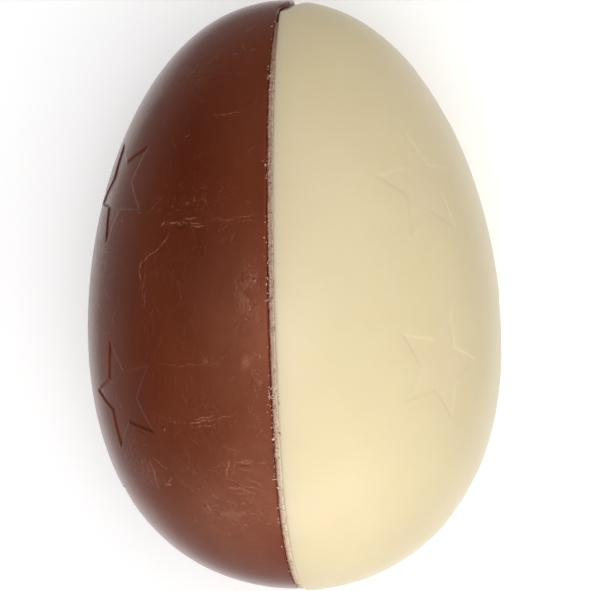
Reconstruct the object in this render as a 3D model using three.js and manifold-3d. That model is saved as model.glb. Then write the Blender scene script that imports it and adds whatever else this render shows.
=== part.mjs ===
// A chocolate Easter egg moulded as two half shells, one milk and one white, welded edge to edge along its length.
// It lies on its side. +Y points to the narrow end, the seam stands in the YZ plane, milk is at -X and white at +X.
// The shells are shut and can't be seen into, so each half is solid. Millimetres, +Z up, origin on the resting spot.
import * as THREE from 'three';
import { mergeVertices } from 'three/addons/utils/BufferGeometryUtils.js';
import Module from 'manifold-3d';

const wasm = await Module();
wasm.setup();

// The egg. A station t runs from -1 at the narrow end to 1 at the broad end.
const halfLength = 75;
const swellMiddle = 0.696; // radius over half length, once the round of the ends is taken out
const swellBroad = 0.085; // how much fuller the broad end is
const swellEnds = 0.056; // how much both ends fill out
const spotDepth = 0.8; // cut off below, so that the egg lies still
const slip = 0.5; // the white half sits this much nearer the broad end

// The seam, where both rims stop just short of each other.
const seamGap = 0.3;
// Each rim step is [distance from the seam plane, lift above the egg's surface], outwards from the seam.
// The milk rim is a strip of weld with a rounded lip, set off from the shell by a narrow groove.
const milkRim = [[seamGap / 2, -0.45], [0.4, -0.05], [1.45, 0.05], [1.6, -0.3], [1.85, 0]];
// The white rim is only rounded over.
const whiteRim = [[seamGap / 2, -0.45], [0.4, -0.15], [1, 0]];

// The stars pressed into both shells.
const starRadius = 14;
const starWaist = 0.46; // the inner corners' radius over the tips' radius
const starDepth = 0.5;
const prismBelow = 5; // how far a star's cutter reaches under and over the surface at its middle
const prismAbove = 3;
// Each star is placed by the angle round the egg from the top of the seam, the distance along +Y and its spin.
const milkStars = [
  { round: 61.3, along: 27.9, spin: 31 },
  { round: 52.3, along: -24.2, spin: 13 },
  { round: 105, along: 50, spin: -20 },
  { round: 95, along: -8, spin: 30 },
  { round: 92, along: -53, spin: 5 },
  { round: 138, along: 24, spin: -12 },
  { round: 131, along: -21, spin: 26 },
];
const whiteStars = [
  { round: 49.7, along: 26, spin: 4 },
  { round: 48.6, along: -18.2, spin: -15 },
  { round: 92, along: 50, spin: 24 },
  { round: 94, along: -9, spin: -33 },
  { round: 92, along: -53, spin: 12 },
  { round: 133, along: 24, spin: -28 },
  { round: 130, along: -20, spin: 8 },
];

const ringSegments = 64; // round each ring, which runs parallel to the seam
const ringLevels = 13; // from the rim to the middle of a half's side

const degrees = Math.PI / 180;

const swell = (t) => swellMiddle + swellBroad * t + swellEnds * t * t;
const swellSlope = (t) => swellBroad + 2 * swellEnds * t;
const radiusAt = (t) => halfLength * Math.sqrt(1 - t * t) * swell(t);

function widestRadius() {
  let widest = 0;
  for (let t = 0; t < 0.5; t += 0.005) {
    widest = Math.max(widest, radiusAt(t));
  }
  return widest;
}

const axisHeight = widestRadius() - spotDepth;

// The egg is a unit sphere whose cross-sections are scaled by the swell, so a direction on the sphere names a point.
function surfaceAt(direction) {
  const t = -direction.y;
  const point = new THREE.Vector3(direction.x * swell(t), direction.y, direction.z * swell(t));
  const lean = (1 - t * t) * swellSlope(t) - t * swell(t);
  return {
    point: point.multiplyScalar(halfLength),
    normal: new THREE.Vector3(direction.x, lean, direction.z).normalize(),
  };
}

// A direction whose sine off the seam plane is `off`, at an angle round the X axis that starts at +Y.
function directionAt(side, off, angle) {
  const across = Math.sqrt(1 - off * off);
  return new THREE.Vector3(side * off, across * Math.cos(angle), side * across * Math.sin(angle));
}

function ringOf(pointAt) {
  return Array.from({ length: ringSegments }, (_, i) => pointAt((i / ringSegments) * Math.PI * 2));
}

// A ring at a set distance from the seam plane, lifted in that plane only, so that the rim's face stays flat.
function rimRing(side, distance, lift) {
  return ringOf((angle) => {
    let direction = directionAt(side, 0, angle);
    for (let pass = 0; pass < 4; pass += 1) {
      direction = directionAt(side, distance / (halfLength * swell(-direction.y)), angle);
    }
    const { point, normal } = surfaceAt(direction);
    point.addScaledVector(normal.setX(0).normalize(), lift);
    return point.setX(side * distance);
  });
}

function shellRing(side, level, lift) {
  const off = Math.sin((level / ringLevels) * 90 * degrees);
  return ringOf((angle) => {
    const { point, normal } = surfaceAt(directionAt(side, off, angle));
    return point.addScaledVector(normal, lift);
  });
}

// One closed body from a first point, rings of equal length, and a last point.
function closedBody(first, rings, last) {
  const points = [first, ...rings.flat(), last];
  const corner = (ring, i) => 1 + ring * ringSegments + (i % ringSegments);
  const index = [];
  for (let i = 0; i < ringSegments; i += 1) {
    index.push(0, corner(0, i + 1), corner(0, i));
    for (let ring = 0; ring < rings.length - 1; ring += 1) {
      index.push(corner(ring, i), corner(ring, i + 1), corner(ring + 1, i));
      index.push(corner(ring, i + 1), corner(ring + 1, i + 1), corner(ring + 1, i));
    }
    index.push(corner(rings.length - 1, i), corner(rings.length - 1, i + 1), points.length - 1);
  }
  return new THREE.BufferGeometry().setFromPoints(points).setIndex(index);
}

function halfEgg(side, rim) {
  const rings = rim.map(([distance, lift]) => rimRing(side, distance, lift));
  for (let level = 1; level < ringLevels; level += 1) {
    rings.push(shellRing(side, level, 0));
  }
  const rimMiddle = new THREE.Vector3((side * seamGap) / 2, 0, 0);
  return closedBody(rimMiddle, rings, surfaceAt(new THREE.Vector3(side, 0, 0)).point);
}

// The whole egg shrunk by a star's depth. Its surface is every star's floor.
function innerEgg() {
  const pole = (side) => {
    const { point, normal } = surfaceAt(new THREE.Vector3(side, 0, 0));
    return point.addScaledVector(normal, -starDepth);
  };
  const rings = [];
  for (let level = 1 - ringLevels; level < ringLevels; level += 1) {
    rings.push(shellRing(1, level, -starDepth));
  }
  return closedBody(pole(-1), rings, pole(1));
}

function starPrism(side, { round, along, spin }) {
  const outline = new THREE.Shape(Array.from({ length: 10 }, (_, i) => {
    const radius = i % 2 === 0 ? starRadius : starRadius * starWaist;
    const angle = (90 + spin + i * 36) * degrees;
    return new THREE.Vector2(radius * Math.cos(angle), radius * Math.sin(angle));
  }));
  const prism = new THREE.ExtrudeGeometry(outline, { depth: prismBelow + prismAbove, bevelEnabled: false });
  const across = Math.sqrt(1 - (along / halfLength) ** 2);
  const { point, normal } = surfaceAt(new THREE.Vector3(
    side * across * Math.sin(round * degrees),
    along / halfLength,
    across * Math.cos(round * degrees),
  ));
  const right = new THREE.Vector3(0, 1, 0).cross(normal).normalize();
  const up = normal.clone().cross(right);
  const stand = new THREE.Matrix4().makeBasis(right, up, normal);
  return prism.translate(0, 0, -prismBelow).applyMatrix4(stand.setPosition(point));
}

// manifold-3d wants shared corners merged by position alone.
function solidFrom(geometry) {
  geometry.deleteAttribute('normal');
  geometry.deleteAttribute('uv');
  const merged = mergeVertices(geometry);
  return new wasm.Manifold(new wasm.Mesh({
    numProp: 3,
    vertProperties: Float32Array.from(merged.getAttribute('position').array),
    triVerts: Uint32Array.from(merged.getIndex().array),
  }));
}

function geometryFrom(solid) {
  const { vertProperties, triVerts } = solid.getMesh();
  const geometry = new THREE.BufferGeometry();
  geometry.setAttribute('position', new THREE.BufferAttribute(vertProperties, 3));
  geometry.setIndex(new THREE.BufferAttribute(triVerts, 1));
  geometry.computeVertexNormals();
  return geometry;
}

// Everything above the plane that the resting spot lies in.
function aboveSpot() {
  const size = halfLength * 3;
  return new THREE.BoxGeometry(size, size, size).translate(0, 0, size / 2 - axisHeight);
}

function moulded(side, rim, stars) {
  const floor = solidFrom(innerEgg());
  let half = solidFrom(halfEgg(side, rim));
  for (const star of stars) {
    half = half.subtract(solidFrom(starPrism(side, star)).subtract(floor));
  }
  return geometryFrom(half.intersect(solidFrom(aboveSpot())));
}

function milkHalf() {
  const chocolate = new THREE.MeshStandardMaterial({ color: 0x6a3420, roughness: 0.42, metalness: 0 });
  const mesh = new THREE.Mesh(moulded(-1, milkRim, milkStars), chocolate);
  mesh.name = 'milk_half';
  mesh.position.set(0, slip / 2, axisHeight);
  return mesh;
}

function whiteHalf() {
  const chocolate = new THREE.MeshStandardMaterial({ color: 0xe8d8ae, roughness: 0.4, metalness: 0 });
  const mesh = new THREE.Mesh(moulded(1, whiteRim, whiteStars), chocolate);
  mesh.name = 'white_half';
  mesh.position.set(0, -slip / 2, axisHeight);
  return mesh;
}

const egg = new THREE.Group();
egg.add(milkHalf(), whiteHalf());

export default egg;
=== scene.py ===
import math
import random
import bmesh
import bpy
import numpy as np
from mathutils import Matrix, Vector, noise
from mathutils.geometry import delaunay_2d_cdt


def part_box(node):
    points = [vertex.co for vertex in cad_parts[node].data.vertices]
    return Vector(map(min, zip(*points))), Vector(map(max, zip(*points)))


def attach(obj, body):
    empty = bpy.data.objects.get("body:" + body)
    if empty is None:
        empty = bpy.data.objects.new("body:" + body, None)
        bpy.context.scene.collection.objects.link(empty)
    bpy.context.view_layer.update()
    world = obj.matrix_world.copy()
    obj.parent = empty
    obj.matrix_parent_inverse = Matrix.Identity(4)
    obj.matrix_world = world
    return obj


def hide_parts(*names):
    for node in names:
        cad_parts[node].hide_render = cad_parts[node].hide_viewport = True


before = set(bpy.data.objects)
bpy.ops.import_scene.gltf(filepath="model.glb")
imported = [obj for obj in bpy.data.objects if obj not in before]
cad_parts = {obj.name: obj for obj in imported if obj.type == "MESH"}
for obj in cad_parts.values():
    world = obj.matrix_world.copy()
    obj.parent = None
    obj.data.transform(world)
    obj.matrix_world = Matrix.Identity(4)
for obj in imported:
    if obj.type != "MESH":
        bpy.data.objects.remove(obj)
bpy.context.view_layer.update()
mm = 0.001  # shapes are worked out in millimetres and made in metres
print("frame loaded:", ", ".join(sorted(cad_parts)))

milkLow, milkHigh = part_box("milk_half")
whiteLow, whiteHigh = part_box("white_half")

# the egg both shells are moulded to: narrow end at +Y, seam in the YZ plane
egg = {
    "halfLength": (whiteHigh.y - whiteLow.y) / 2 / mm,
    "swellMiddle": 0.696,  # width over length in the middle, then how the broad end and both ends fill out
    "swellBroad": 0.085,
    "swellEnds": 0.056,
    "spotDepth": 0.8,  # what the resting spot takes off below
}
stations = np.linspace(-1, 1, 801)


def swell(t):
    return egg["swellMiddle"] + egg["swellBroad"] * t + egg["swellEnds"] * t * t


def swellSlope(t):
    return egg["swellBroad"] + 2 * egg["swellEnds"] * t


widest = float((egg["halfLength"] * np.sqrt(1 - stations**2) * swell(stations)).max())
egg["axisHeight"] = widest - egg["spotDepth"]


def unit(rows):
    return rows / np.linalg.norm(rows, axis=1, keepdims=True)


def surfaceAt(direction):  # a direction on the unit sphere names a point of the egg
    t = -direction[:, 1]
    width = swell(t)
    point = np.stack([direction[:, 0] * width, direction[:, 1], direction[:, 2] * width], 1)
    lean = (1 - t * t) * swellSlope(t) - t * width
    return point * egg["halfLength"], unit(np.stack([direction[:, 0], lean, direction[:, 2]], 1))


def directionOf(point):
    along = np.clip(point[:, 1] / egg["halfLength"], -1, 1)
    width = egg["halfLength"] * swell(-along)
    return unit(np.stack([point[:, 0] / width, along, point[:, 2] / width], 1))


# each shell is triangulated flat, on the stereographic plane seen from the middle of its side
def directionFromPlane(side, plane):
    square = (plane**2).sum(1)
    return np.stack([side * (1 - square), 2 * plane[:, 0], 2 * plane[:, 1]], 1) / (1 + square)[:, None]


def planeFromDirection(side, direction):
    return direction[:, 1:] / (1 + side * direction[:, :1])


def directionRound(side, roundAngle, along):  # angle from the top of the seam, and distance along +Y
    sine = np.clip(along / egg["halfLength"], -1, 1)
    across = np.sqrt(1 - sine**2)
    return np.stack([side * across * np.sin(roundAngle), sine, across * np.cos(roundAngle)], 1)


class Perch:  # a flat board touching the egg at one point, on which stars and scuffs are drawn
    def __init__(self, side, roundAngle, along):
        place = directionRound(side, np.array([math.radians(roundAngle)]), np.array([float(along)]))
        point, normal = surfaceAt(place)
        self.origin, self.normal = point[0], normal[0]
        self.right = np.cross([0, 1, 0], self.normal)
        self.right /= np.linalg.norm(self.right)
        self.up = np.cross(self.normal, self.right)

    def drop(self, local):  # from the board to the egg, along the board's normal
        start = self.origin + local[:, :1] * self.right + local[:, 1:] * self.up
        depth = np.zeros(len(local))
        for _ in range(6):
            here = self.outside(start + depth[:, None] * self.normal)
            ahead = self.outside(start + (depth[:, None] + 0.01) * self.normal)
            depth -= here / ((ahead - here) / 0.01)
        return start + depth[:, None] * self.normal

    def outside(self, point):
        along = np.clip(point[:, 1] / egg["halfLength"], -1, 1)
        width = egg["halfLength"] * swell(-along)
        return (point[:, 0] ** 2 + point[:, 2] ** 2) / width**2 + along**2 - 1

    def local(self, point):
        offset = point - self.origin
        return np.stack([offset @ self.right, offset @ self.up], 1)


def smooth(value, low, high):
    share = np.clip((value - low) / (high - low), 0, 1)
    return share * share * (3 - 2 * share)


def noiseAt(points, size, seed=0.0):  # one value per point, about -1 to 1
    shift = Vector((seed * 17.3, seed * 5.1, seed * 9.7))
    return np.array([noise.noise(Vector(p) + shift) for p in (points / size).tolist()])


# stars pressed into the shells
star = {
    "radius": 14.1,
    "waist": 0.47,
    "wallLines": (-0.7, -0.22, -0.09, 0.0, 0.09, 0.22, 0.7),  # mesh lines beside the outline
    "step": 0.42,
}
# round: degrees from the top of the seam, along: towards the narrow end, spin: anticlockwise from outside
milkStars = [
    (61.3, 27.9, 31), (52.3, -24.2, 13), (105, 50, -20), (95, -8, 30),
    (92, -53, 5), (138, 24, -12), (131, -21, 26),
]
whiteStars = [
    (49.7, 26.0, 4), (48.6, -18.2, -15), (92, 50, 24), (94, -9, -33),
    (92, -53, 12), (133, 24, -28), (130, -20, 8),
]


def starCorners(spin):
    turn = np.radians(90 + spin + 36 * np.arange(10))
    radius = np.where(np.arange(10) % 2 == 0, star["radius"], star["radius"] * star["waist"])
    return np.stack([radius * np.cos(turn), radius * np.sin(turn)], 1)


def movedOut(corners, distance):  # the same outline, grown by a distance
    edge = unit(np.roll(corners, -1, 0) - corners)
    outward = np.stack([edge[:, 1], -edge[:, 0]], 1)
    before = np.roll(outward, 1, 0)
    return corners + distance * (outward + before) / (1 + (outward * before).sum(1, keepdims=True))


def alongOutline(corners, step):
    ends = np.roll(corners, -1, 0)
    rows = []
    for a, b in zip(corners, ends):
        count = max(1, round(float(np.linalg.norm(b - a)) / step))
        rows.append(a + (b - a) * (np.arange(count) / count)[:, None])
    return np.concatenate(rows)


def outlineDistance(local, corners):  # negative inside the star
    ends = np.roll(corners, -1, 0)
    nearest = np.full(len(local), 1e9)
    inside = np.zeros(len(local), bool)
    for a, b in zip(corners, ends):
        edge = b - a
        share = np.clip(((local - a) @ edge) / (edge @ edge), 0, 1)
        nearest = np.minimum(nearest, np.linalg.norm(local - a - share[:, None] * edge, axis=1))
        crosses = (a[1] > local[:, 1]) != (b[1] > local[:, 1])
        reach = a[0] + (local[:, 1] - a[1]) * edge[0] / (edge[1] if abs(edge[1]) > 1e-9 else 1e-9)
        inside ^= crosses & (local[:, 0] < reach)
    return np.where(inside, -nearest, nearest)


# scuffs: thin scratches grouped where the shell has been rubbed
def strokesOf(side, groups, cuts, seed):
    chance = random.Random(seed)
    strokes = []
    for roundAngle, along, spread, count, heading, fan, length, bend, strength in groups:
        perch = Perch(side, roundAngle, along)
        for _ in range(count):
            start = np.array([chance.gauss(0, spread[0]), chance.gauss(0, spread[1])])
            strokes.append({
                "perch": perch, "start": start, "heading": heading + chance.gauss(0, fan),
                "length": length * chance.uniform(0.4, 1.5), "bend": chance.gauss(0, bend), "wide": 1.0,
                "strength": strength * chance.uniform(0.35, 1), "dice": chance.random(),
            })
    for roundAngle, along, heading, length, wide, strength in cuts:
        strokes.append({
            "perch": Perch(side, roundAngle, along), "start": np.zeros(2), "heading": heading,
            "length": length, "bend": 0.0, "wide": wide, "strength": strength, "dice": chance.random(),
        })
    return strokes


scuff = {"step": 0.34, "halfWidth": 0.16, "depth": 0.07, "cutDepth": 0.26}


def strokePoints(stroke):
    length, strength, dice = stroke["length"], stroke["strength"], stroke["dice"]
    count = max(3, round(length / scuff["step"]))
    share = np.arange(count + 1) / count
    angle = math.radians(stroke["heading"]) + stroke["bend"] * (share - 0.5) * length
    angle += 0.25 * np.sin(share * 9 + dice * 20)
    path = stroke["start"] + np.cumsum(np.stack([np.cos(angle), np.sin(angle)], 1) * (length / count), 0)
    across = np.stack([-np.sin(angle), np.cos(angle)], 1)
    width = scuff["halfWidth"] * (0.7 + 0.8 * abs(strength)) * stroke["wide"]
    fade = strength * np.sin(np.pi * np.clip(share, 0.04, 0.96)) ** 0.4
    fade = fade * (0.65 + 0.35 * np.sin(share * 23 + dice * 31))
    local = np.concatenate([path, path + across * width, path - across * width])
    mark = np.concatenate([fade, fade * 0, fade * 0])
    return stroke["perch"].drop(local), mark


# rubbed places, a row each: degrees round from the seam, mm along, how far the marks scatter across and
# along, how many, their heading in degrees from straight across, how much it varies, length, bend, strength
milkScuffs = [
    # narrow end
    (21, 66, (0.5, 0.5), 2, 45, 4, 3, 0.02, 0.7),
    (20, 61, (2.2, 0.8), 7, 30, 50, 2, 0.1, 0.6),
    (36, 54, (4, 4), 16, 50, 35, 6, 0.04, 0.32),
    (22, 44.5, (0.6, 0.2), 2, 2, 3, 5, 0.01, 0.6),
    (32, 39.4, (0.1, 0.1), 2, 20, 30, 0.7, 0, 1),
    (24, 30, (6, 8), 22, 80, 35, 3, 0.1, 0.25),
    # squiggles across the upper middle
    (28, 18.0, (5.5, 0.5), 4, -3, 6, 5, 0.08, 0.85),
    (13, 18.2, (3.5, 0.3), 5, 2, 6, 6, 0.03, 0.6),
    (31, 23, (4, 2.5), 8, 25, 16, 1.2, 0.15, 0.55),
    (37, 11.5, (2.2, 2.2), 3, 52, 14, 3.5, 0.06, 0.6),
    (20, 18, (5, 7), 12, 70, 20, 1.6, 0.1, 0.4),
    # nick and specks beside the seam
    (6, 4.6, (1.5, 0.5), 7, 4, 10, 1.1, 0.1, 0.9),
    (6, 2.8, (0.9, 1.2), 9, 60, 15, 0.6, 0.1, 1),
    (10, -1.2, (0.25, 1.2), 3, 88, 4, 5, 0.02, 0.6),
    (7, -1.5, (1.2, 3.2), 18, 75, 20, 0.6, 0.1, 0.9),
    (9, -3.5, (0.3, 1), 3, 90, 3, 7, 0.01, 0.5),
    (4, -6.2, (0.7, 1.6), 9, 60, 12, 2.6, 0.03, 0.7),
    (8, -16.5, (1.4, 1.6), 12, 35, 8, 2, 0.03, 0.7),
    (4, -20.7, (0.8, 2.4), 30, 30, 70, 0.8, 0.1, 0.95),
    (6, -28, (1.6, 3), 20, 40, 70, 0.8, 0.1, 0.55),
    # long fine lines across the middle
    (28, -16.7, (4, 0.2), 5, 1, 2, 8, 0.005, 0.6),
    (40, -2, (0.3, 1), 3, 88, 3, 8, 0.01, 0.55),
    (34, -8, (7, 6), 14, 80, 20, 5, 0.02, 0.3),
    (19, -16.5, (2.2, 1.2), 12, 20, 60, 0.9, 0.1, 0.8),
    (20, -31.2, (1.8, 0.8), 3, 8, 4, 4.5, 0.02, 0.75),
    (20, -30, (6, 5), 16, 60, 30, 1.2, 0.15, 0.35),
    # scratched patch towards the broad end
    (11, -42.0, (2.2, 0.6), 3, 2, 7, 3.6, 0.05, 1),
    (15, -43, (0.5, 0.6), 1, 62, 6, 4.5, -0.14, 1),
    (12, -45.5, (1.8, 1.0), 3, -32, 5, 4.2, 0.02, 1),
    (15, -48.1, (1, 0.4), 3, 2, 10, 2.6, 0.05, 1),
    (21, -50, (0.8, 0.8), 3, -28, 14, 2.6, 0.1, 1),
    (28, -52.9, (0.4, 0.5), 1, 75, 25, 2.4, 0.05, 0.9),
    (19, -54, (4.2, 2.0), 40, -20, 35, 0.8, 0.1, 0.95),
    (27, -45, (4, 5), 26, -40, 25, 3, 0.1, 0.4),
    (41, -46, (0.8, 0.3), 4, 0, 30, 1.6, 0.3, 1),
    (52, -41, (2.5, 4), 18, 60, 60, 2, 0.1, 0.5),
    # fine wear all over, and more of it round the back
    (30, -20, (16, 28), 90, 85, 30, 3, 0.04, 0.22),
    (70, 10, (14, 24), 70, 70, 50, 4, 0.05, 0.4),
    (108, -10, (18, 25), 90, 70, 60, 4, 0.06, 0.5),
    (150, -5, (18, 26), 110, 60, 60, 4, 0.06, 0.6),
]
# single marks: degrees round, mm along, heading, length, width, strength; below nought, a crease cut into the
# shell with painted shadow in it
milkCuts = [
    (41.5, 9.5, -100, 2.7, 1.6, 1), (42, 6.9, -72, 3.0, 1.6, 1), (41, 8.7, -88, 3.6, 1.8, -1),
    (41.5, 8.5, 33, 7.4, 1.3, 0.8), (34.5, 12.4, 50, 3.4, 1.3, 0.75), (36, 10.4, 45, 4.0, 2.0, -0.6),
    (35.5, 17.4, 40, 1.8, 1.3, 1), (33, 18.6, -5, 4.2, 1.3, 1), (27.5, 19, 3, 3.5, 1.2, 0.9),
    (24.5, 17.2, -3, 3.4, 1.3, 1), (29, 17.2, 0, 2.5, 1.8, -0.7), (22, 14.5, -70, 4.5, 2.2, -0.5),
    (7, 4.9, -12, 3.0, 1.6, 1), (6.8, 4.1, -4, 2.2, 1.8, -1), (5.4, 3.1, 30, 0.8, 2.0, 1),
    (4, 2.6, 60, 0.7, 2.0, 1), (7.6, 1.6, 70, 0.7, 2.0, 0.9), (8.6, 0.4, 88, 5.0, 1.8, -0.6),
    (7, -2.4, 80, 0.8, 1.8, 0.9), (6.6, -4.1, 80, 0.8, 1.8, 0.9), (2.6, -3.2, 75, 2.5, 1.4, 0.8),
    (17.3, -44.3, 68, 3.9, 1.4, 1), (14.2, -40.8, 3, 4.8, 1.3, 0.9), (12, -41.3, 0, 2.2, 2.6, 1),
    (13, -41.8, 0, 2.6, 1.8, -0.8), (18, -44.9, -24, 9.3, 1.2, 1), (15, -46.7, -30, 4.4, 1.2, 0.9),
    (11, -44.9, -25, 3.4, 1.3, 0.9), (16.5, -45.3, -32, 4.0, 1.6, -0.8), (17, -47.3, 0, 0.9, 2.2, 1),
    (15.5, -47.4, 0, 0.9, 2.2, 1), (13.7, -47.3, 0, 0.9, 2.2, 0.9), (24, -48.6, -48, 2.4, 2.0, 1),
    (23, -50, -40, 2.0, 1.8, -0.9), (28.8, -53, 72, 2.4, 1.6, -1), (27.5, -50.7, -74, 2.6, 1.4, 1),
    (45.5, -48.2, 84, 8.2, 1.2, 1), (43.5, -39.3, -42, 4.7, 1.2, 0.7), (42, -46.3, 0, 1.8, 2.0, 0.9),
    (26, -30.9, 7, 6.0, 1.3, 0.9), (24, -30.2, 8, 5.0, 1.2, 0.8), (24.5, -32, 3, 5.0, 1.2, 0.6),
    (35.5, -33.3, 90, 0.8, 2.0, 1), (36, -33, 90, 1.0, 1.8, -1), (47, -32.5, -20, 3.0, 2.0, -0.9),
]
whiteScuffs = [
    (70, 0, (25, 30), 40, 70, 50, 5, 0.05, 0.4),
    (130, 0, (20, 30), 40, 60, 60, 5, 0.05, 0.4),
    (38, 25.8, (0.3, 0.2), 2, -30, 8, 1.6, 0.05, 0.6),
]
# places where the shine has flaked: round, along, size across and along, strength
milkFlakes = [
    (24, 22, 8, 9, 0.4), (30, 8, 8, 8, 0.3), (7, 2, 2.5, 7, 0.8), (6, -20, 2.5, 6, 0.8), (20, -30, 7, 7, 0.5),
    (28, -44, 9, 6, 0.35), (18, -53, 8, 3, 0.8), (52, -42, 6, 6, 0.7), (38, 55, 9, 9, 0.3),
    (80, 15, 14, 22, 0.6), (110, -20, 18, 20, 0.8), (150, 5, 18, 26, 1),
]
# soft cloudy places where the surface has dulled, which also paint in a paler sheen where the lights are
# reflected: round, along, size across and along, strength
milkHazeAndSheen = [
    (4, -10, 16, 27, 0.175), (22, -57, 17, 17, 0.19), (4, -46, 14, 24, 0.205), (10, 50, 12, 26, 0.05),
    (8, -16.5, 1.6, 2.8, 0.32), (6, 3, 1.8, 2.5, 0.26), (8, -2, 2, 5, 0.25), (19, -54, 4, 2.4, 0.32),
    (62, -5, 5, 40, 0.05), (46, -44, 5, 4, 0.12),
    (110, 0, 22, 26, 0.14), (150, -15, 20, 20, 0.18), (150, 32, 15, 14, 0.12),
]
# places where the colour is painted deepest, a painted shade where the dim room is reflected in the gloss; in
# the same order
milkDeepShade = [
    (27, 34, 13, 25, 1), (22, 12, 9, 14, 0.8), (44, -12, 8, 26, 0.5),
    (100, 30, 16, 20, 0.6), (140, -40, 16, 16, 0.6),
]


# the two shells
milkShell = {
    "side": -1,
    "centre": (milkLow.y + milkHigh.y) / 2 / mm,
    "stars": milkStars,
    "scuffs": milkScuffs,
    "cuts": milkCuts,
    "seed": 3,
    "spacing": 1.15,  # between the sheet's even points
    "wave": 0.10,  # how uneven the shell is
    "hazeAndSheen": milkHazeAndSheen,
    "flaked": milkFlakes,
    "deepShade": milkDeepShade,
    "starDepth": 0.32,
    "starWall": 0.36,
    "sheetEdge": 3.3,  # where the rim's rings take over from the sheet
    # from the shell to the seam: distance behind the shell's edge, lift, and how much the line wanders
    "rim": [
        (0.85, 0, 0.02), (0.52, -0.02, 0.05), (0.28, -0.08, 0.08),
        (0.1, -0.19, 0.1), (0.0, -0.4, 0.1), (0.0, -1.1, 0.04),
    ],
    "flange": 0.16,  # how far the hidden face stands from the middle
    "rimSteps": 1300,
}
whiteShell = {
    "side": 1,
    "centre": (whiteLow.y + whiteHigh.y) / 2 / mm,
    "stars": whiteStars,
    "scuffs": whiteScuffs,
    "cuts": [],
    "seed": 8,
    "spacing": 1.25,
    "wave": 0.07,
    "hazeAndSheen": [],
    "flaked": [],
    "deepShade": [],
    "starDepth": 0.15,
    "starWall": 0.95,
    "sheetEdge": 2.5,
    "rim": [
        (1.7, 0, 0), (1.1, -0.005, 0.02), (0.7, -0.03, 0.03), (0.38, -0.09, 0.04),
        (0.14, -0.2, 0.04), (0.02, -0.36, 0.02), (0.0, -1.1, 0),
    ],
    "flange": 0.12,
    "rimSteps": 1100,
}


seam = {
    # how far each edge stands back from the middle, at these degrees round from the narrow end
    "milkTurns": (0, 8, 12, 15, 16.5, 24, 27, 36, 48, 135, 150, 165, 180),
    "milkEdge": (-2.5, -2.1, -1.2, -0.1, 0.2, 0.3, 0.5, 0.9, 1.25, 1.35, 1.05, 0.75, 0.7),
    "whiteTurns": (135, 150, 165, 180),  # straight up to the first
    "whiteEdge": (0.12, 0.5, 0.95, 1.4),
    "notchDepth": 3.0,  # the white shell's corner is broken away under the milk shell's lip
    "notchTurn": 17.5,
    "notchReach": 7.0,
    "tipWear": 0.3,  # how much the milk shell's tip is rubbed down, and how far round
    "tipReach": 13,
}


def degreesRound(turn):  # from the narrow end, the same on top and below
    return np.degrees(np.abs((turn + np.pi) % (2 * np.pi) - np.pi))


def milkEdge(turn):
    return np.interp(degreesRound(turn), seam["milkTurns"], seam["milkEdge"])


def whiteEdge(turn):
    return np.interp(degreesRound(turn), seam["whiteTurns"], seam["whiteEdge"])


def notch(turn, fromSeam):
    depth = seam["notchDepth"] * np.clip(1 - (degreesRound(turn) / seam["notchTurn"]) ** 2, 0, 1)
    return depth * (1 - smooth(fromSeam, -2.5, seam["notchReach"]))


def tipWear(point):
    offTip = np.linalg.norm(point - np.array([0, egg["halfLength"], 0]), axis=1)
    return seam["tipWear"] * np.exp(-((offTip / seam["tipReach"]) ** 2))


def seamDirections(side, distance, turn):  # directions whose surface lies so far from the seam plane
    off = np.zeros_like(turn)
    for _ in range(4):
        across = np.sqrt(1 - off * off)
        off = distance / (egg["halfLength"] * swell(-across * np.cos(turn)))
    return np.stack([side * off, across * np.cos(turn), across * np.sin(turn)], 1)


def rimRing(side, distance, lift, turn):  # distance and lift may vary along the ring
    point, normal = surfaceAt(seamDirections(side, distance, turn))
    flat = unit(normal * np.array([0, 1, 1]))
    point = point + flat * np.reshape(lift, (-1, 1))
    point[:, 0] = side * distance
    return point


def evenDirections(side, spacing, least):  # even rings over one side, no nearer the seam than least
    step = spacing / egg["halfLength"]
    rows = [np.array([[side, 0.0, 0.0]])]
    for i in range(1, int(math.pi / 2 / step) + 1):
        count = max(6, round(2 * math.pi * math.sin(i * step) / step))
        turn = (np.arange(count) + 0.5 * (i % 2)) * 2 * math.pi / count
        off = np.full(count, math.sin(i * step))
        near = np.full(count, side * math.cos(i * step))
        rows.append(np.stack([near, off * np.cos(turn), off * np.sin(turn)], 1))
    direction = np.concatenate(rows)
    point, _ = surfaceAt(direction)
    return direction[np.abs(point[:, 0]) > least]


def cloudsOver(side, point, places):  # soft round places on the shell, 0 to 1
    cloud = np.zeros(len(point))
    for roundAngle, along, across, lengthwise, strength in places:
        perch = Perch(side, roundAngle, along)
        local = perch.local(point)
        here = strength * np.exp(-((local[:, 0] / across) ** 2) - (local[:, 1] / lengthwise) ** 2)
        cloud = np.maximum(cloud, here * (point @ perch.normal > 0))
    return cloud


def layOutSheet(side, spec, turn, boards):  # every place where the sheet needs a point, and its scuff
    planes, marks = [], []

    def keep(direction, mark=None):
        planes.append(planeFromDirection(side, direction))
        marks.append(np.zeros(len(direction)) if mark is None else mark)

    edge = rimRing(side, np.full(len(turn), spec["sheetEdge"]), 0.0, turn)
    keep(directionOf(edge))
    keep(evenDirections(side, spec["spacing"], spec["sheetEdge"] + 0.6))
    for perch, corners in boards:
        for distance in star["wallLines"]:
            outline = alongOutline(movedOut(corners, distance), star["step"])
            keep(directionOf(perch.drop(outline)))
    for stroke in strokesOf(side, spec["scuffs"], spec["cuts"], spec["seed"]):
        point, mark = strokePoints(stroke)
        clear = np.abs(point[:, 0]) > spec["sheetEdge"] + 0.15
        clear &= np.sign(point[:, 0]) == side
        keep(directionOf(point[clear]), mark[clear])
    return np.concatenate(planes), np.concatenate(marks)


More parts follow.
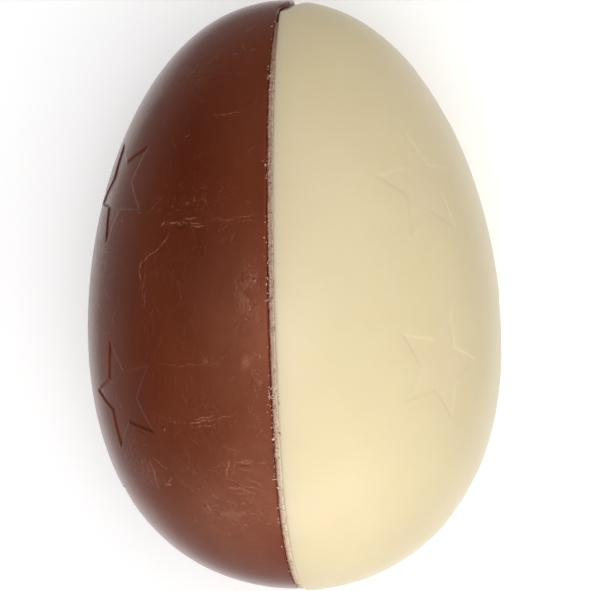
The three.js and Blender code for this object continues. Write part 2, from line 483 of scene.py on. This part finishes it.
def pressStars(point, boards, wall):  # 1 on a star's floor, 0 outside it
    pressed = np.zeros(len(point))
    for perch, corners in boards:
        near = np.linalg.norm(point - perch.origin, axis=1) < star["radius"] * 1.3
        distance = outlineDistance(perch.local(point[near]), corners)
        pressed[near] = np.maximum(pressed[near], smooth(-distance, -wall / 2, wall / 2))
    return pressed


def sheetHeight(side, spec, point, direction, mark, pressed):  # how far each point stands off the smooth egg
    fromSeam = np.abs(point[:, 0])
    height = spec["wave"] * noiseAt(point, 26.0, spec["seed"])
    height += spec["wave"] * 0.16 * noiseAt(point, 7.0, spec["seed"] + 1)
    height *= smooth(fromSeam, spec["sheetEdge"], 8.0)
    height -= spec["starDepth"] * pressed
    height -= np.where(mark > 0, scuff["depth"], -scuff["cutDepth"]) * mark
    if side > 0:
        return height - notch(np.arctan2(direction[:, 2], direction[:, 1]), fromSeam)
    return height - tipWear(point)


def rimRings(side, spec, turn):  # rings from beside the sheet to the seam and down into it
    edgeAway = milkEdge(turn) if side < 0 else whiteEdge(turn)
    squeeze = np.minimum(1, (spec["sheetEdge"] - 0.2 - edgeAway) / spec["rim"][0][0])  # where the seam bends
    ringSpecs = [(edgeAway + behind * squeeze, lift, wander) for behind, lift, wander in spec["rim"]]
    if side < 0:
        ringSpecs.insert(0, ((edgeAway + 0.7 + spec["sheetEdge"]) / 2, 0, 0))
        ringSpecs.append((np.full(len(turn), spec["flange"]), spec["rim"][-1][1], 0))
    rings = []
    for distance, lift, wander in ringSpecs:
        lifts = np.full(len(turn), float(lift))
        lifts -= notch(turn, distance) if side > 0 else tipWear(rimRing(side, distance, 0.0, turn))
        ring = rimRing(side, distance, lifts, turn)
        if wander:
            ring[:, 0] += wander * (noiseAt(ring, 2.2, 4) + 0.6 * noiseAt(ring, 0.7, 5))
            lifts = wander * 0.5 * noiseAt(ring, 1.3, 6)
            _, out = surfaceAt(directionOf(ring))
            ring += unit(out * np.array([0, 1, 1])) * lifts[:, None]
        rings.append(ring)
    return rings


def triangulate(flat):  # triangles over flat points, and which of them each corner came from
    _, _, faces, sources, _, _ = delaunay_2d_cdt([Vector(p) for p in flat.tolist()], [], [], 0, 1e-6, True)
    return faces, sources


def hiddenFace(side, spec, last, lastNames, total):  # the face at the seam, filled from the last ring
    grid = np.stack(np.meshgrid(np.arange(-80, 81, 5.0), np.arange(-60, 61, 5.0)), -1).reshape(-1, 2)
    ends = grid[:, 0] / egg["halfLength"]
    halfWidth = egg["halfLength"] * np.sqrt(np.clip(1 - ends**2, 0, 1)) * swell(-ends)
    grid = grid[(np.abs(grid[:, 0]) < 70) & (np.abs(grid[:, 1]) < halfWidth - 4)]
    flat = np.concatenate([last[:, 1:], grid])
    inside, sources = triangulate(flat)
    names, extra = [], []
    for source in sources:
        k = source[0]
        if k < len(last):
            names.append(int(lastNames[k]))
        else:
            names.append(total + len(extra))
            extra.append((side * spec["flange"], *flat[k]))
    return np.array(extra), [tuple(names[k] for k in reversed(face)) for face in inside]


def addPiece(name, points, faces, attributes=None, soft=True):  # points in millimetres about the egg's middle
    points = np.array(points, float)
    points[:, 2] = np.maximum(points[:, 2] + egg["axisHeight"], 0)  # nothing goes below the resting spot
    mesh = bpy.data.meshes.new(name)
    mesh.from_pydata((points * mm).tolist(), [], [tuple(int(k) for k in f) for f in faces])
    for label, values in (attributes or {}).items():
        layer = mesh.attributes.new(label, "FLOAT", "POINT")
        layer.data.foreach_set("value", np.array(values, np.float32))
    if soft:
        mesh.shade_smooth()
    mesh.update()
    made = bpy.data.objects.new(name, mesh)
    bpy.context.scene.collection.objects.link(made)
    print(name, "made:", len(mesh.vertices), "points,", len(mesh.polygons), "faces")
    return made


def makeShell(name, spec):
    side = spec["side"]
    turn = np.arange(spec["rimSteps"]) * 2 * math.pi / spec["rimSteps"]
    boards = [(Perch(side, place, along), starCorners(spin)) for place, along, spin in spec["stars"]]
    plane, mark = layOutSheet(side, spec, turn, boards)
    faces, sources = triangulate(plane)
    order = np.array([max(s, key=lambda k: abs(mark[k])) for s in sources])  # where points met, the strongest
    mark = mark[order]
    direction = directionFromPlane(side, plane[order])
    point, normal = surfaceAt(direction)
    print(name, "laid out:", len(point), "points")
    pressed = pressStars(point, boards, spec["starWall"])
    point = point + normal * sheetHeight(side, spec, point, direction, mark, pressed)[:, None]

    # ring by ring to the seam; the first ring is already in the sheet
    ringOf = {source: index for index, source in enumerate(order.tolist()) if source < len(turn)}
    names = np.array([ringOf[i] for i in range(len(turn))])
    rows, total = [point], len(point)
    for ring in rimRings(side, spec, turn):
        inner, names = names, np.arange(total, total + len(turn))
        for i in range(len(turn)):
            j = (i + 1) % len(turn)
            faces.append((inner[i], names[i], names[j], inner[j]))
        rows.append(ring)
        total += len(turn)
    extra, inside = hiddenFace(side, spec, rows[-1], names, total)
    faces += inside
    point = np.concatenate([*rows, extra])
    if side < 0:
        faces = [tuple(reversed(f)) for f in faces]

    beyond = np.zeros(len(point) - len(mark))  # the rim and the hidden face carry no marks
    layers = {"scuff": np.concatenate([mark, beyond]), "pressed": np.concatenate([pressed, beyond])}
    for label in ("hazeAndSheen", "flaked", "deepShade"):
        layers[label] = cloudsOver(side, point, spec[label])
    fromSeam = np.abs(point[:, 0])
    away = fromSeam - milkEdge(np.arctan2(point[:, 2], point[:, 1]))
    # the rim mask carries painted shade along the milk shell's groove
    layers["rim"] = np.exp(-np.clip(away, 0, None) / 0.45) * (side < 0)
    # the edge mask carries painted shade beside the white shell's seam
    layers["edge"] = np.exp(-np.clip(fromSeam - spec["flange"], 0, None) / 2.2)
    point[:, 1] += spec["centre"]
    return addPiece(name, point, faces, layers)


milk = makeShell("milkShell", milkShell)
white = makeShell("whiteShell", whiteShell)


# the chocolate squeezed out between the shells: rough near the narrow end, smooth near the broad one
weld = {
    "stations": 1700,
    "startTurn": 25,  # degrees from the narrow end where it thins out
    "top": (0, 0.05, 0.12, 0.2, 0.29, 0.38, 0.47, 0.56, 0.65, 0.74, 0.82, 0.89, 0.95, 1),
    "floor": -1.06,
    "smoothFrom": (92, 112),  # degrees round over which each change comes in
    "paleFrom": (70, 150),
    "dimUntil": (26, 52),
    "lump": 0.2,
    "grit": 0.17,
}


def weldSurface(turn, share):  # lift at a place across the strip
    even = smooth(degreesRound(turn), *weld["smoothFrom"])
    leftFall = np.clip(1 - share / (0.2 + 0.26 * even), 0, 1) ** 2
    rightFall = np.clip(1 - (1 - share) / 0.16, 0, 1) ** 2
    return -0.07 + 0.07 * even - (0.24 + 0.12 * even) * leftFall - (0.1 - 0.06 * even) * rightFall, even


def makeWeld():
    start = math.radians(weld["startTurn"])
    turns = np.linspace(start, 2 * math.pi - start, weld["stations"])
    left, right = -milkEdge(turns) + 0.03, whiteEdge(turns) + 0.03
    columns, shares = [], list(weld["top"])
    for share in shares:
        x = left + share * (right - left)
        lift, even = weldSurface(turns, np.full(len(turns), share))
        flatPoint = rimRing(-1, -x, lift, turns)
        rough = 1 - 0.75 * even
        middle = math.sin(math.pi * min(max(share, 0.06), 0.94)) ** 0.5
        lumps = weld["lump"] * noiseAt(flatPoint, 1.3, 21) + weld["grit"] * noiseAt(flatPoint, 0.45, 22)
        lumps = np.where(lumps > 0, lumps * 0.6, lumps * 1.3)
        sideways = 0.12 * noiseAt(flatPoint, 1.1, 23) + 0.09 * noiseAt(flatPoint, 0.42, 24)
        sideways = np.where(share > 0.5, np.minimum(sideways, 0.03), sideways)
        ring = rimRing(-1, -(x + rough * sideways), lift + middle * rough * lumps, turns)
        columns.append(ring)
    columns.append(rimRing(-1, -right, np.full(len(turns), weld["floor"]), turns))
    columns.append(rimRing(-1, -left, np.full(len(turns), weld["floor"]), turns))
    across = shares + [1, 0]
    width = len(columns)
    points = np.stack(columns, 1).reshape(-1, 3)
    points[:, 1] += milkShell["centre"]
    faces = []
    for i in range(len(turns) - 1):
        for k in range(width):
            a, b = i * width + k, i * width + (k + 1) % width
            faces.append((a, a + width, b + width, b))
    faces.append(tuple(range(width)))
    faces.append(tuple(reversed(range((len(turns) - 1) * width, len(turns) * width))))
    layers = {
        "across": np.tile(across, len(turns)),
        "pale": np.repeat(smooth(degreesRound(turns), *weld["paleFrom"]), width),
        "dim": np.repeat(1 - smooth(degreesRound(turns), *weld["dimUntil"]), width),
    }
    return addPiece("weldStrip", points, faces, layers)


strip = makeWeld()

# loose bits left along the seam
crumbs = {
    "pale": {"count": 170, "size": (0.08, 0.24), "seed": 31},
    "brown": {"count": 260, "size": (0.08, 0.24), "seed": 32},
    # where they gather: degrees round from the narrow end, and how many of the bits
    "heaps": [
        (43.5, 1, 0.06), (64, 1.5, 0.06), (87, 3, 0.05), (111, 3.5, 0.2),
        (118, 4, 0.12), (135, 3, 0.06), (146, 6, 0.06),
    ],
    "elsewhere": (20, 175),  # degrees round for the rest of them
    "besideSeam": -0.85,  # towards the milk side
    "farShare": 0.35,  # how many lie along the underside
}
shavings = {
    "count": 46,
    "length": (0.7, 2.0),
    "width": (0.09, 0.17),
    "seed": 33,
    "heaps": [
        (43.5, 0.8, 0.05), (64, 1, 0.05), (109, 2, 0.34),
        (120, 5, 0.12), (132, 4, 0.14), (146, 6, 0.12),
    ],
    "rings": 9,
}


def seamPlace(chance, heaps, spread):  # beside the seam: a place, and out, along the seam and across it
    pick, degrees = chance.random(), None
    for middle, width, share in heaps:
        if pick < share:
            degrees = chance.gauss(middle, width)
            break
        pick -= share
    if degrees is None:
        degrees = chance.uniform(*crumbs["elsewhere"])
    if chance.random() < crumbs["farShare"]:
        degrees = -degrees
    turn = np.array([math.radians(degrees)])
    x = chance.gauss(crumbs["besideSeam"], spread) + whiteEdge(turn) - whiteShell["flange"]
    point = rimRing(-1, -x, np.zeros(1), turn)[0]
    _, out = surfaceAt(directionOf(point[None, :]))
    out = out[0]
    across = np.array([1.0, 0, 0]) - out[0] * out
    across /= np.linalg.norm(across)
    return point, out, np.cross(out, across), across


def makeCrumbs(name, spec):
    chance = random.Random(spec["seed"])
    form = bmesh.new()
    bmesh.ops.create_icosphere(form, subdivisions=2, radius=1)
    ballPoints = np.array([v.co for v in form.verts])
    ballFaces = [[v.index for v in f.verts] for f in form.faces]
    form.free()
    points, faces = [], []
    for i in range(spec["count"]):
        point, out, along, across = seamPlace(chance, crumbs["heaps"], 0.55)
        size = chance.uniform(*spec["size"]) * chance.uniform(0.6, 1)
        stretch = np.array([chance.uniform(0.8, 2.2), chance.uniform(0.5, 1.1), chance.uniform(0.4, 0.75)])
        lumpy = 1 + 0.55 * noiseAt(ballPoints * 1.3, 1.0, i * 0.37)
        shape = ballPoints * lumpy[:, None] * stretch * size
        spin = chance.uniform(0, math.pi)
        first = math.cos(spin) * along + math.sin(spin) * across
        second = -math.sin(spin) * along + math.cos(spin) * across
        lift = size * stretch[2] * 0.4 - 0.04
        placed = point + lift * out + shape[:, :1] * first + shape[:, 1:2] * second + shape[:, 2:] * out
        faces += [[k + len(points) * len(ballPoints) for k in f] for f in ballFaces]
        points.append(placed)
    points = np.concatenate(points)
    points[:, 1] += milkShell["centre"]
    return addPiece(name, points, faces, soft=False)


def makeShavings():
    chance = random.Random(shavings["seed"])
    points, faces = [], []
    for i in range(shavings["count"]):
        point, out, along, across = seamPlace(chance, shavings["heaps"], 0.6)
        length, width = chance.uniform(*shavings["length"]), chance.uniform(*shavings["width"])
        spin = chance.gauss(0.5, 0.7)
        first = math.cos(spin) * along + math.sin(spin) * across
        second = -math.sin(spin) * along + math.cos(spin) * across
        curl, rise = chance.gauss(0, 0.25), chance.uniform(0.02, 0.22)
        count = shavings["rings"]
        for k in range(count):
            share = k / (count - 1) - 0.5
            slim = width * (1 - (2 * share) ** 4) * 0.5 + 0.012
            middle = point + first * share * length + second * curl * share * share * length
            middle = middle + out * (0.04 + rise * (share + 0.5) ** 2 * length * 0.5)
            for a in range(6):
                turn = a * math.pi / 3
                points.append(middle + slim * (math.cos(turn) * second + 0.55 * math.sin(turn) * out))
        base = len(points) - count * 6
        last = len(points) - 6
        for low in range(base, last, 6):
            for a in range(6):
                b = (a + 1) % 6
                faces.append((low + a, low + b, low + 6 + b, low + 6 + a))
        faces.append(tuple(base + a for a in reversed(range(6))))
        faces.append(tuple(last + a for a in range(6)))
    points = np.array(points)
    points[:, 1] += milkShell["centre"]
    return addPiece("shavings", points, faces)


paleBits = makeCrumbs("paleCrumbs", crumbs["pale"])
brownBits = makeCrumbs("brownCrumbs", crumbs["brown"])
curls = makeShavings()


class Wire:  # one socket of a shader; Python's operators on it add Math nodes
    def __init__(self, paint, socket):
        self.paint, self.socket = paint, socket

    def math(self, operation, *values):
        return self.paint.node("ShaderNodeMath", {"operation": operation}, dict(enumerate(values)))

    def __add__(self, other):
        return self.math("ADD", self, other)

    def __sub__(self, other):
        return self.math("SUBTRACT", self, other)

    def __rsub__(self, other):
        return self.math("SUBTRACT", other, self)

    def __mul__(self, other):
        return self.math("MULTIPLY", self, other)

    __radd__, __rmul__ = __add__, __mul__

    def part(self, name):  # another output of the same node
        return Wire(self.paint, self.socket.node.outputs[name])

    def between(self, low, high):  # 0 at low, 1 at high, eased at both
        sockets = {"Value": self, "From Min": low, "From Max": high}
        return self.paint.node("ShaderNodeMapRange", {"interpolation_type": "SMOOTHSTEP"}, sockets)


class Paint:  # the nodes of a material, or of the room round the scene
    def __init__(self, name, store=bpy.data.materials):
        self.owner = store.new(name)
        self.owner.use_nodes = True
        self.tree = self.owner.node_tree
        self.tree.nodes.clear()

    def node(self, kind, settings=None, sockets=None, output=0):
        made = self.tree.nodes.new(kind)
        for key, value in (settings or {}).items():
            if key == "stops":
                for i, (place, colour) in enumerate(value):
                    stop = made.color_ramp.elements[i] if i < 2 else made.color_ramp.elements.new(place)
                    stop.position, stop.color = place, (*colour, 1)
            else:
                setattr(made, key, value)
        for key, value in (sockets or {}).items():
            if isinstance(value, Wire):
                self.tree.links.new(value.socket, made.inputs[key])
            else:
                made.inputs[key].default_value = value
        return Wire(self, made.outputs[output]) if made.outputs else made

    def mix(self, share, a, b):  # colours; share runs from a to b
        a, b = [c if isinstance(c, Wire) else (*c, 1) for c in (a, b)]
        return self.node("ShaderNodeMix", {"data_type": "RGBA"}, {0: share, 6: a, 7: b}, 2)

    def attribute(self, name):
        return self.node("ShaderNodeAttribute", {"attribute_name": name}, {}, "Fac")

    def place(self, scale=(1, 1, 1)):  # the object's own coordinates, stretched
        where = self.node("ShaderNodeTexCoord", {}, {}, "Object")
        return self.node("ShaderNodeVectorMath", {"operation": "MULTIPLY"}, {0: where, 1: scale})

    def noise(self, scale, detail=3, rough=0.5, stretch=(1, 1, 1)):  # scale in repeats per metre
        sockets = {"Vector": self.place(stretch), "Scale": scale, "Detail": detail, "Roughness": rough}
        return self.node("ShaderNodeTexNoise", {}, sockets, "Fac")

    def bump(self, height, distance, strength=1.0, over=None):
        sockets = {"Height": height, "Distance": distance, "Strength": strength}
        if over:
            sockets["Normal"] = over
        return self.node("ShaderNodeBump", {}, sockets, "Normal")

    def finish(self, **sockets):
        named = {name.replace("_", " "): value for name, value in sockets.items()}
        shader = self.node("ShaderNodeBsdfPrincipled", {}, named)
        self.node("ShaderNodeOutputMaterial", {}, {"Surface": shader})
        return self.owner


milkLook = {
    "dark": (0.118, 0.0225, 0.0078),
    "light": (0.142, 0.029, 0.0105),
    "deepShade": (0.096, 0.0162, 0.0052),  # painted shade, darkest where the dim room is reflected in the gloss
    "streak": (0.165, 0.038, 0.015),
    # the paler colour of dulled chocolate, partly a painted sheen where the lights are reflected
    "bloomAndSheen": (0.42, 0.20, 0.135),
    "scratch": (0.50, 0.26, 0.18),
    # painted shade for pits and the stars' walls
    "shadedPit": (0.05, 0.010, 0.004),
    # painted shadow inside the cut creases
    "creaseShadow": (0.014, 0.003, 0.0015),
    "rim": (0.125, 0.017, 0.009),  # a redder, darker line beside the seam: painted shade in the groove
    "sheen": (0.92, 0.30, 0.16, 1),  # chocolate browns what it reflects
    "roughness": 0.21,
}


def milkChocolate():
    paint = Paint("milkChocolate")
    mottle = paint.noise(38, 4, 0.55)
    streak = paint.noise(70, 4, 0.6, (1, 0.1, 1))
    colour = paint.mix(mottle.between(0.35, 0.7), milkLook["dark"], milkLook["light"])
    colour = paint.mix(streak.between(0.45, 0.8) * 0.4, colour, milkLook["streak"])
    marks = paint.attribute("scuff")
    scuffs, creaseShadows = marks.math("MAXIMUM", marks, 0.0), marks.math("MAXIMUM", marks * -1, 0.0)
    # real dulling, and a painted sheen where the lights are reflected
    cloudyAndSheen = paint.attribute("hazeAndSheen") * (paint.noise(170, 3, 0.6).between(0.3, 0.7) * 0.3 + 0.84)
    dull = paint.noise(240, 4, 0.65).between(0.55, 0.8) * 0.04
    # painted shade: the colour is made deepest where the dim room is reflected
    colour = paint.mix(paint.attribute("deepShade") * 0.95, colour, milkLook["deepShade"])
    colour = paint.mix(cloudyAndSheen + dull, colour, milkLook["bloomAndSheen"])
    flake = paint.noise(1000, 4, 0.7, (1, 0.7, 1))
    flakes = paint.attribute("flaked") * flake.between(0.52, 0.60)
    # painted shade in the flaked pits, which the bump also sinks
    shadedPits = paint.attribute("flaked") * flake.between(0.44, 0.36)
    colour = paint.mix(flakes * 0.1, colour, milkLook["scratch"])
    colour = paint.mix(shadedPits * 0.3, colour, milkLook["shadedPit"])
    pressed = paint.attribute("pressed")
    wall = pressed * (1 - pressed) * 4  # the stars' walls
    # painted shade on the stars' walls
    colour = paint.mix(wall * 0.6, colour, milkLook["shadedPit"])
    colour = paint.mix(scuffs * 0.7, colour, milkLook["scratch"])
    # painted shadow: the creases are coloured near black
    colour = paint.mix(creaseShadows * 0.95, colour, milkLook["creaseShadow"])
    # painted shade along the seam's groove
    colour = paint.mix(paint.attribute("rim") * 0.75, colour, milkLook["rim"])
    grain = paint.noise(1100, 3, 0.6)
    wavy = paint.noise(130, 3, 0.5, (1, 0.5, 1))
    relief = paint.bump(grain, 0.00003, 0.3, paint.bump(wavy, 0.0003, 0.2))
    relief = paint.bump(flakes - shadedPits, 0.00008, 0.6, relief)
    rough = mottle * 0.07 + (milkLook["roughness"] - 0.035) + scuffs * 0.3 + cloudyAndSheen * 0.35
    rough = rough + dull + flakes * 0.12 + wall * 0.2
    return paint.finish(
        Base_Color=colour, Roughness=rough, Normal=relief, IOR=1.45, Specular_Tint=milkLook["sheen"])


whiteLook = {
    "plain": (0.765, 0.64, 0.40),
    "warm": (0.81, 0.66, 0.435),
    "creamy": (0.79, 0.675, 0.415),
    "edge": (0.66, 0.55, 0.40),  # painted shade beside the seam
    "scratch": (0.62, 0.52, 0.36),
    "roughness": 0.34,
}


def whiteChocolate():
    paint = Paint("whiteChocolate")
    mottle = paint.noise(30, 4, 0.55)
    tint = paint.noise(45, 3, 0.5)
    colour = paint.mix(mottle.between(0.3, 0.7), whiteLook["plain"], whiteLook["creamy"])
    warmth = tint.between(0.5, 0.75) * 0.5 + paint.attribute("pressed") * 0.3
    colour = paint.mix(warmth, colour, whiteLook["warm"])
    # painted shade: greyer beside the seam
    colour = paint.mix(paint.attribute("edge") * 0.85, colour, whiteLook["edge"])
    colour = paint.mix(paint.attribute("scuff") * 0.35, colour, whiteLook["scratch"])
    grain = paint.noise(700, 3, 0.6)
    wavy = paint.noise(90, 2, 0.5)
    relief = paint.bump(grain, 0.00003, 0.25, paint.bump(wavy, 0.0002, 0.2))
    rough = mottle * 0.1 + (whiteLook["roughness"] - 0.05)
    return paint.finish(
        Base_Color=colour, Roughness=rough, Normal=relief, IOR=1.45,
        Subsurface_Weight=0.35, Subsurface_Radius=(1, 0.75, 0.45), Subsurface_Scale=0.003)


weldLook = {
    # across the strip, from the milk shell to the white one
    "upper": [
        (0, (0.11, 0.022, 0.012)), (0.18, (0.23, 0.085, 0.05)), (0.42, (0.43, 0.245, 0.17)),
        (0.68, (0.34, 0.205, 0.14)), (0.86, (0.43, 0.29, 0.205)), (1, (0.62, 0.49, 0.36)),
    ],
    "lower": [
        (0, (0.19, 0.045, 0.026)), (0.14, (0.38, 0.16, 0.10)), (0.34, (0.54, 0.32, 0.235)),
        (0.52, (0.62, 0.45, 0.33)), (0.64, (0.50, 0.41, 0.27)), (0.8, (0.75, 0.62, 0.42)),
        (1, (0.78, 0.67, 0.45)),
    ],
    "speck": (0.66, 0.48, 0.36),
    "shadedPit": (0.17, 0.07, 0.04),
    "dash": (0.30, 0.25, 0.15),
    "dim": (0.23, 0.095, 0.06),
}


def weldChocolate():
    paint = Paint("weldChocolate")
    across, pale = paint.attribute("across"), paint.attribute("pale")
    speckle = paint.noise(2300, 3, 0.75)
    chip = paint.noise(1300, 3, 0.7, (1, 0.55, 1))
    blotch = paint.noise(420, 3, 0.6, (1, 0.5, 1))
    wander = across + (blotch - 0.5) * 0.35 + (chip - 0.5) * 0.3 * (1 - pale * 0.6)
    upper = paint.node("ShaderNodeValToRGB", {"stops": weldLook["upper"]}, {"Fac": wander})
    lowerWander = across + (blotch - 0.5) * 0.25
    lower = paint.node("ShaderNodeValToRGB", {"stops": weldLook["lower"]}, {"Fac": lowerWander})
    colour = paint.mix(pale, upper, lower)
    rough = 1 - pale * 0.6
    # painted shade: the dips of the chip pattern are coloured dark
    colour = paint.mix(chip.between(0.47, 0.36) * rough * 0.75, colour, weldLook["shadedPit"])
    colour = paint.mix(speckle.between(0.55, 0.64) * rough * 0.7, colour, weldLook["speck"])
    dash = paint.noise(900, 2, 0.5, (1, 0.22, 1)).between(0.56, 0.64) * across.between(0.55, 0.8)
    colour = paint.mix(dash * pale * 0.55, colour, weldLook["dash"])
    colour = paint.mix(paint.attribute("dim") * 0.75, colour, weldLook["dim"])
    relief = paint.bump(chip + speckle * 0.5, 0.0002, 0.5)
    return paint.finish(Base_Color=colour, Roughness=speckle * 0.3 + 0.4, Normal=relief, IOR=1.45)


def crumbChocolate(name, dark, light):
    paint = Paint(name)
    speckle = paint.noise(1400, 3, 0.6)
    patch = paint.noise(160, 2, 0.5)
    colour = paint.mix(speckle.between(0.35, 0.65) * 0.5 + patch.between(0.4, 0.6) * 0.5, dark, light)
    relief = paint.bump(speckle, 0.00006, 0.4)
    return paint.finish(Base_Color=colour, Roughness=speckle * 0.3 + 0.45, Normal=relief, IOR=1.45)


paleLook = {"dark": (0.52, 0.34, 0.23), "light": (0.80, 0.66, 0.46)}
brownLook = {"dark": (0.20, 0.075, 0.045), "light": (0.42, 0.22, 0.15)}
milk.data.materials.append(milkChocolate())
white.data.materials.append(whiteChocolate())
strip.data.materials.append(weldChocolate())
paleFinish = crumbChocolate("paleCrumb", paleLook["dark"], paleLook["light"])
paleBits.data.materials.append(paleFinish)
curls.data.materials.append(paleFinish)
brownBits.data.materials.append(crumbChocolate("brownCrumb", brownLook["dark"], brownLook["light"]))
slots = {milk: "milk_chocolate", white: "white_chocolate", strip: "milk_chocolate",
         brownBits: "milk_chocolate", paleBits: "white_chocolate", curls: "white_chocolate"}
for piece, slotName in slots.items():
    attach(piece, "root")
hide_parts("milk_half")
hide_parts("white_half")
print("pieces finished:", ", ".join(piece.name for piece in slots))

# floor, lights and camera
studio = {
    "floorSize": 9.0,
    "floorNear": (0.95, 0.95, 0.95),  # white beside the egg, greyer further off
    "floorFar": (0.42, 0.42, 0.42),
    "floorFade": (0.080, 0.135),
    "glowNear": (0.22, 0.22, 0.22),  # a light table, so the shadow beside the egg stays soft
    "glowFar": (0.12, 0.12, 0.12),
    "bandTop": 0.07,  # sine of how high the paler band reaches
    "bandColour": (0.40, 0.40, 0.40),
    "roomColour": (0.16, 0.16, 0.16),
    "cameraTurn": 5.4,  # degrees from straight above, towards the white side
    "cameraRoll": 1.78,
    "cameraFar": 1.2,
    "viewHeight": 0.15037,  # what the frame's height takes in at the egg's axis
    "aim": (0.00038, -0.00023),  # the view's middle beside the egg's
}
target = Vector((0, 0, egg["axisHeight"] * mm))


def makeFloor():
    half = studio["floorSize"] / 2
    mesh = bpy.data.meshes.new("floor")
    corners = [(-half, -half, 0), (half, -half, 0), (half, half, 0), (-half, half, 0)]
    mesh.from_pydata(corners, [], [(0, 1, 2, 3)])
    floor = bpy.data.objects.new("floor", mesh)
    bpy.context.scene.collection.objects.link(floor)
    paint = Paint("paper")
    off = paint.node("ShaderNodeVectorMath", {"operation": "ABSOLUTE"}, {0: paint.place()})
    sideways = paint.node("ShaderNodeSeparateXYZ", {}, {0: off}, "X")
    away = sideways.math("MAXIMUM", sideways, sideways.part("Y"))
    outer = away.between(*studio["floorFade"])
    colour = paint.mix(outer, studio["floorNear"], studio["floorFar"])
    glow = paint.mix(outer, studio["glowNear"], studio["glowFar"])
    tooth = paint.bump(paint.noise(900, 3, 0.6), 0.0001, 0.1)
    floor.data.materials.append(paint.finish(
        Base_Color=colour, Roughness=0.9, Normal=tooth, Emission_Color=glow, Emission_Strength=1))


def makeRoom():  # a dim room, with a paler band low down
    paint = Paint("room", bpy.data.worlds)
    where = paint.node("ShaderNodeTexCoord", {}, {}, "Generated")
    height = paint.node("ShaderNodeSeparateXYZ", {}, {0: where}, "Z")
    stops = [(studio["bandTop"], studio["bandColour"]), (studio["bandTop"] + 0.03, studio["roomColour"])]
    colour = paint.node("ShaderNodeValToRGB", {"stops": stops}, {"Fac": height})
    light = paint.node("ShaderNodeBackground", {}, {"Color": colour})
    paint.node("ShaderNodeOutputWorld", {}, {"Surface": light})
    bpy.context.scene.world = paint.owner


# softboxes in rings round the egg, brighter towards a window at the broad end and a lesser one to the side
dome = {
    "far": 1.2,
    "size": (0.56, 0.40),
    "overhead": 3.0,  # watts
    "windowTurn": 275,  # degrees anticlockwise from +X
    "sideTurn": 45,
    "rings": [  # rise: degrees up, step: degrees between softboxes, window and side: watts towards each
        {"rise": 68, "step": 60, "window": 1.3, "side": 1.0},
        {"rise": 46, "step": 36, "window": 0.7, "side": 1.05},
        {"rise": 27, "step": 30, "window": 1.8, "side": 0.35},
        {"rise": 11, "step": 30, "window": 1.2, "side": 0},
    ],
}


def towards(turn, other):  # 1 facing it, 0 from a right angle on
    return max(0, math.cos(math.radians(turn - other))) ** 2


def domePanels():
    panels = [{"turn": 0, "rise": 90, "watts": dome["overhead"]}]
    for ring in dome["rings"]:
        for turn in range(0, 360, ring["step"]):
            window, side = towards(turn, dome["windowTurn"]), towards(turn, dome["sideTurn"])
            watts = ring["window"] * window + ring["side"] * side
            if watts > 0.1:
                panels.append({"turn": turn, "rise": ring["rise"], "watts": watts})
    return panels


def makePanel(name, spec):
    turn, rise = math.radians(spec["turn"]), math.radians(spec["rise"])
    away = Vector((math.cos(turn) * math.cos(rise), math.sin(turn) * math.cos(rise), math.sin(rise)))
    light = bpy.data.lights.new(name, "AREA")
    light.shape = "RECTANGLE"
    light.size, light.size_y = dome["size"]
    light.energy = spec["watts"]
    lamp = bpy.data.objects.new(name, light)
    lamp.location = target + away * dome["far"]
    lamp.rotation_euler = away.to_track_quat("Z", "Y").to_euler()
    lamp.visible_camera = False
    bpy.context.scene.collection.objects.link(lamp)


def makeCamera():
    turn, roll = math.radians(studio["cameraTurn"]), math.radians(studio["cameraRoll"])
    back = Vector((math.sin(turn), 0, math.cos(turn)))
    level, along = Vector((math.cos(turn), 0, -math.sin(turn))), Vector((0, 1, 0))
    right = level * math.cos(roll) - along * math.sin(roll)
    up = along * math.cos(roll) + level * math.sin(roll)
    lens = bpy.data.cameras.new("camera")
    lens.sensor_width = 36
    lens.lens = 18 / (studio["viewHeight"] / 2 / studio["cameraFar"])
    camera = bpy.data.objects.new("camera", lens)
    middle = target + right * studio["aim"][0] + up * studio["aim"][1]
    place = Matrix((right, up, back)).transposed().to_4x4()
    place.translation = middle + back * studio["cameraFar"]
    camera.matrix_world = place
    bpy.context.scene.collection.objects.link(camera)
    bpy.context.scene.camera = camera


makeFloor()
for number, spec in enumerate(domePanels()):
    makePanel(f"panel{number}", spec)
makeCamera()
makeRoom()
bpy.context.scene.view_settings.view_transform = "Standard"
print("studio set")
